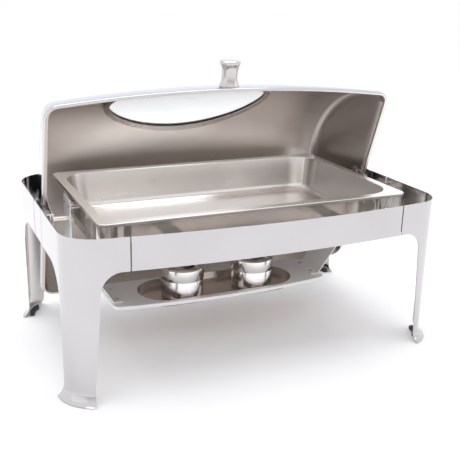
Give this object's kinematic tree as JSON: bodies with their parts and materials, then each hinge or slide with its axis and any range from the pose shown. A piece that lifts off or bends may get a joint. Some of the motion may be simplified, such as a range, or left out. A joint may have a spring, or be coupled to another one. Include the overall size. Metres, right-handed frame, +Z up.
{
  "type": "chafing dish",
  "caption": "Rectangular roll-top chafing dish with windowed rolling lid, food pan over water pan, flared-leg frame and fuel shelf with burner cups.",
  "frame": {"origin": "on the table, below the middle of the frame", "axes": "+X along the length, +Z up, the user and the front rail at -Y"},
  "size_m": [0.663, 0.427, 0.4744],
  "materials": {
    "polished_steel": "mirror polished stainless steel",
    "brushed_steel": "satin stainless steel",
    "satin_steel": "fine satin stainless steel",
    "plated_rod": "bright plated steel",
    "plated_fasteners": "zinc plated steel",
    "clear_glass": "clear tempered glass",
    "black_rubber": "matt rubber",
    "nylon": "matt nylon"
  },
  "bodies": {
    "frame": {"bracket_rivets": "plated_fasteners", "foot_pad_front_left": "black_rubber", "foot_pad_front_right": "black_rubber", "foot_pad_rear_left": "black_rubber", "foot_pad_rear_right": "black_rubber", "friction_washers_left": "brushed_steel", "friction_washers_right": "brushed_steel", "front_joint_plates": "brushed_steel", "front_rail": "polished_steel", "front_support_left": "polished_steel", "front_support_right": "polished_steel", "fuel_shelf": "polished_steel", "hanger_left": "polished_steel", "hanger_right": "polished_steel", "hanger_rivets": "plated_fasteners", "hanger_spacers": "plated_fasteners", "hinge_bracket_left": "brushed_steel", "hinge_bracket_right": "brushed_steel", "hinge_nuts_left": "plated_fasteners", "hinge_nuts_right": "plated_fasteners", "hinge_rod_left": "plated_rod", "hinge_rod_right": "plated_rod", "leg_front_left": "polished_steel", "leg_front_right": "polished_steel", "leg_rear_left": "polished_steel", "leg_rear_right": "polished_steel", "lid_buffer_left": "black_rubber", "lid_buffer_right": "black_rubber", "pan_carrier": "polished_steel", "rail_rivets": "plated_fasteners", "rear_joint_plates": "brushed_steel", "rear_rail": "polished_steel", "shelf_rivets": "plated_fasteners", "side_rail_left": "polished_steel", "side_rail_right": "polished_steel", "stop_pins_left": "brushed_steel", "stop_pins_right": "brushed_steel"},
    "lid": {"knob_screw": "plated_fasteners", "knob_washer": "brushed_steel", "lid_arm_left": "brushed_steel", "lid_arm_right": "brushed_steel", "lid_bush_left": "nylon", "lid_bush_right": "nylon", "lid_knob": "polished_steel", "lid_rivets": "plated_fasteners", "lid_shell": "brushed_steel", "window_frame": "brushed_steel", "window_gasket": "black_rubber", "window_glass": "clear_glass"},
    "food_pan": {"food_pan": "satin_steel"},
    "water_pan": {"water_pan": "satin_steel"},
    "fuel_cup_left": {"fuel_cup_left": "polished_steel"},
    "cup_cover_left": {"cup_cover_left": "polished_steel", "damper_rivet_left": "plated_fasteners"},
    "damper_left": {"damper_left": "polished_steel"},
    "fuel_cup_right": {"fuel_cup_right": "polished_steel"},
    "cup_cover_right": {"cup_cover_right": "polished_steel", "damper_rivet_right": "plated_fasteners"},
    "damper_right": {"damper_right": "polished_steel"}
  },
  "joints": [
    {"name": "lid_roll", "type": "hinge", "parent": "frame", "child": "lid", "pos_m": [0, 0, 0.23], "axis": [1, 0, 0], "range_deg": [-71.2, 74]},
    {"name": "water_pan_lift", "type": "slide", "parent": "frame", "child": "water_pan", "axis": [0, 0, 1], "range_m": [0, 0.015]},
    {"name": "food_pan_lift", "type": "slide", "parent": "water_pan", "child": "food_pan", "axis": [0, 0, 1], "range_m": [0, 0.03]},
    {"name": "fuel_cup_left_lift", "type": "slide", "parent": "frame", "child": "fuel_cup_left", "axis": [0, 0, 1], "range_m": [0, 0.014]},
    {"name": "cup_cover_left_lift", "type": "slide", "parent": "fuel_cup_left", "child": "cup_cover_left", "axis": [0, 0, 1], "range_m": [0, 0.022]},
    {"name": "damper_left_swing", "type": "hinge", "parent": "cup_cover_left", "child": "damper_left", "pos_m": [-0.069, 0.05, 0.1156], "axis": [0, 0, 1], "range_deg": [-110, 10]},
    {"name": "fuel_cup_right_lift", "type": "slide", "parent": "frame", "child": "fuel_cup_right", "axis": [0, 0, 1], "range_m": [0, 0.014]},
    {"name": "cup_cover_right_lift", "type": "slide", "parent": "fuel_cup_right", "child": "cup_cover_right", "axis": [0, 0, 1], "range_m": [0, 0.022]},
    {"name": "damper_right_swing", "type": "hinge", "parent": "cup_cover_right", "child": "damper_right", "pos_m": [0.069, 0.05, 0.1156], "axis": [0, 0, 1], "range_deg": [-110, 10]}
  ]
}
